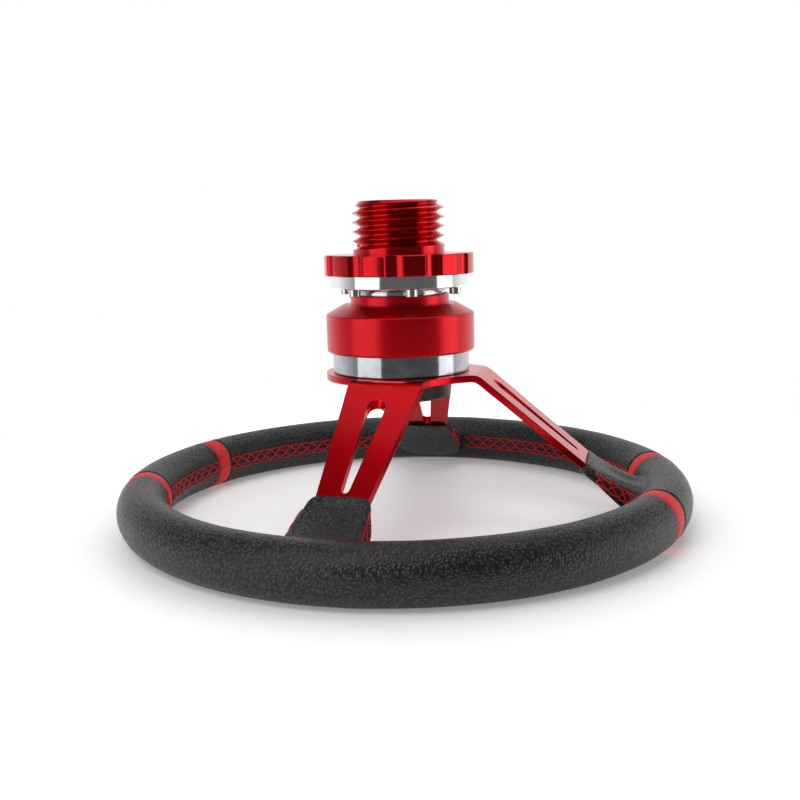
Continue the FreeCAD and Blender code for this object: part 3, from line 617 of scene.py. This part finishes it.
def build_seams(sleeves):
    """All the red thread: round the rim's inner side, and down both sides of each sleeve."""
    near = BAND_OFFSET - BAND_HALF - BAND_CLEARANCE
    far = BAND_OFFSET + BAND_HALF + BAND_CLEARANCE
    foot = FOOT_CLEARANCE / (RIM_RADIUS - RIM_HALF_WIDTH)
    right, left = SIDE_FOOT_ANGLE, HALF_TURN - SIDE_FOOT_ANGLE
    spans = [
        (TWELVE - near, TWELVE + near),
        (TWELVE + far, left - foot),
        (left + foot, SIX - far),
        (SIX - near, SIX - foot),
        (SIX + foot, SIX + near),
        (SIX + far, FULL_TURN + right - foot),
        (right + foot, TWELVE - far),
    ]
    rim_paths = []
    for start, end in spans:
        rim_paths += rim_seam(start, end)
    rim = thread_object("rim_stitching", rim_paths, THREAD_RADIUS)
    sleeve_paths = []
    for sleeve, drop in zip(sleeves, SEAM_DROPS):
        for side_angle in (0.0, HALF_TURN):
            sleeve_paths += sleeve_seam(sleeve, side_angle, drop)
    feet = thread_object("sleeve_stitching", sleeve_paths, THREAD_RADIUS)
    for piece in (rim, feet):
        dress(piece, THREAD)
        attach(piece, "wheel")


def build_sleeves():
    low, high = SIDE_FOOT
    right = Sleeve(SIDE_BEND, low, high, FLARE_SHORT, FLARE_LONG, 0.0)
    left = Sleeve(SIDE_BEND, -high, -low, FLARE_LONG, FLARE_SHORT, HALF_TURN)
    bottom = Sleeve(BOTTOM_BEND, -BOTTOM_FOOT, BOTTOM_FOOT, FLARE_BOTTOM, FLARE_BOTTOM, SIX)
    sleeve_piece("sleeve_right_skin", "sleeve_right", right)
    sleeve_piece("sleeve_left_skin", "sleeve_left", left)
    sleeve_piece("sleeve_bottom_skin", "sleeve_bottom", bottom)
    return [right, left, bottom]


# ---------------------------------------------------------------- studio

CAMERA_PLACE = Vector((-0.5946, -0.1391, 0.1762))
CAMERA_AIM = Vector((-0.0003, 0.0013, 0.0729))
CAMERA_ROLL = math.radians(-1.31)
CAMERA_LENS = 44.85
CAMERA_SENSOR = 36.0
LIGHT_AIM = Vector((0.0, 0.0, 0.08))
TABLE_RADIUS = 0.44
TABLE_SIDES = 96
# The table's painted light: its own glow rises from weak to strong between GLOW_START and the table's
# edge
GLOW_START = 0.17
GLOW_WEAK, GLOW_STRONG = 0.22, 1.15
WORLD_FRONT, WORLD_BACK = 0.11, 1.0
WORLD_FORWARD, WORLD_UP = 0.72, 0.69

# Name, turn in degrees from the camera's side, height, distance, width, tall, power
SOFTBOXES = [
    ("softbox_left", -55.0, 0.45, 1.5, 1.3, 1.5, 8.0),
    ("softbox_right", 80.0, 0.40, 1.5, 0.9, 1.3, 5.5),
    ("softbox_top", 150.0, 1.7, 0.5, 1.6, 1.6, 9.0),
    ("softbox_front", -30.0, 1.15, 0.85, 0.9, 0.5, 6.5),
]


def add_camera():
    """A level camera aimed at the hub, then rolled a little about its own axis."""
    data = bpy.data.cameras.new("camera")
    data.lens = CAMERA_LENS
    data.sensor_width = CAMERA_SENSOR
    camera = bpy.data.objects.new("camera", data)
    back = (CAMERA_PLACE - CAMERA_AIM).normalized()
    level = Vector((0.0, 0.0, 1.0)).cross(back).normalized()
    upright = back.cross(level)
    right = math.cos(CAMERA_ROLL) * level + math.sin(CAMERA_ROLL) * upright
    up = back.cross(right)
    turn = Matrix((right, up, back)).transposed()
    camera.matrix_world = Matrix.Translation(CAMERA_PLACE) @ turn.to_4x4()
    bpy.context.scene.collection.objects.link(camera)
    bpy.context.scene.camera = camera


def add_softbox(name, turn_deg, height, distance, width, tall, power):
    """A large soft light, turned about the wheel from the camera's side."""
    data = bpy.data.lights.new(name, "AREA")
    data.shape = "RECTANGLE"
    data.size = width
    data.size_y = tall
    data.energy = power
    light = bpy.data.objects.new(name, data)
    base = math.atan2(CAMERA_PLACE.y, CAMERA_PLACE.x) + math.radians(turn_deg)
    place = Vector((distance * math.cos(base), distance * math.sin(base), height))
    facing = (LIGHT_AIM - place).to_track_quat("-Z", "Y")
    light.matrix_world = Matrix.Translation(place) @ facing.to_matrix().to_4x4()
    bpy.context.scene.collection.objects.link(light)


def add_world():
    """White where the camera sees it; for the lighting, white behind the wheel and dim in front."""
    world = bpy.data.worlds.new("studio")
    world.use_nodes = True
    tree = world.node_tree
    tree.nodes.clear()
    output = tree.nodes.new("ShaderNodeOutputWorld")
    shade = tree.nodes.new("ShaderNodeBackground")
    place = tree.nodes.new("ShaderNodeTexCoord")
    towards = tree.nodes.new("ShaderNodeVectorMath")
    towards.operation = "DOT_PRODUCT"
    forward = Vector((CAMERA_PLACE.x, CAMERA_PLACE.y, 0.0)).normalized()
    towards.inputs[1].default_value = (WORLD_FORWARD * forward.x, WORLD_FORWARD * forward.y, WORLD_UP)
    ramp = tree.nodes.new("ShaderNodeMapRange")
    for socket, value in ((1, -0.45), (2, 0.25), (3, WORLD_BACK), (4, WORLD_FRONT)):
        ramp.inputs[socket].default_value = value
    seen = tree.nodes.new("ShaderNodeLightPath")
    brighter = tree.nodes.new("ShaderNodeMath")
    brighter.operation = "MAXIMUM"
    tree.links.new(place.outputs["Generated"], towards.inputs[0])
    tree.links.new(towards.outputs["Value"], ramp.inputs[0])
    tree.links.new(ramp.outputs[0], brighter.inputs[0])
    tree.links.new(seen.outputs["Is Camera Ray"], brighter.inputs[1])
    tree.links.new(brighter.outputs[0], shade.inputs["Strength"])
    shade.inputs["Color"].default_value = (1.0, 1.0, 1.0, 1.0)
    tree.links.new(shade.outputs[0], output.inputs["Surface"])
    bpy.context.scene.world = world


def add_floor():
    """A round white table that glows with painted light, weakly near the wheel and strongly towards
    its edge, where it fades to pure white.
    """
    n = Nodes("studio_white")
    across, _ = n.polar()
    mottle = n.noise(3.0, 2.0)
    colour = n.colours(mottle, (0.86, 0.86, 0.87), (0.90, 0.90, 0.91))
    # Painted light: the table glows, weakly under the wheel, which lifts its shadows, and strongly at
    # its edge, which fades it into the white beyond
    glow = n.between(across, GLOW_WEAK, GLOW_STRONG, GLOW_START, TABLE_RADIUS)
    material = n.finish(Base_Color=colour, Roughness=0.55, Emission_Strength=glow)
    n.shader.inputs["Emission Color"].default_value = (1.0, 1.0, 1.0, 1.0)
    angles = [FULL_TURN * i / TABLE_SIDES for i in range(TABLE_SIDES)]
    rim = [(TABLE_RADIUS * math.cos(a), TABLE_RADIUS * math.sin(a), 0.0) for a in angles]
    floor = new_object("floor", rim, [tuple(range(TABLE_SIDES))], smooth=False)
    dress(floor, material)


def build_studio():
    add_camera()
    add_world()
    add_floor()
    for softbox in SOFTBOXES:
        add_softbox(*softbox)
    bpy.context.scene.view_settings.view_transform = "Standard"


dress_cad_nodes()
rim_cover()
build_seams(build_sleeves())
build_studio()
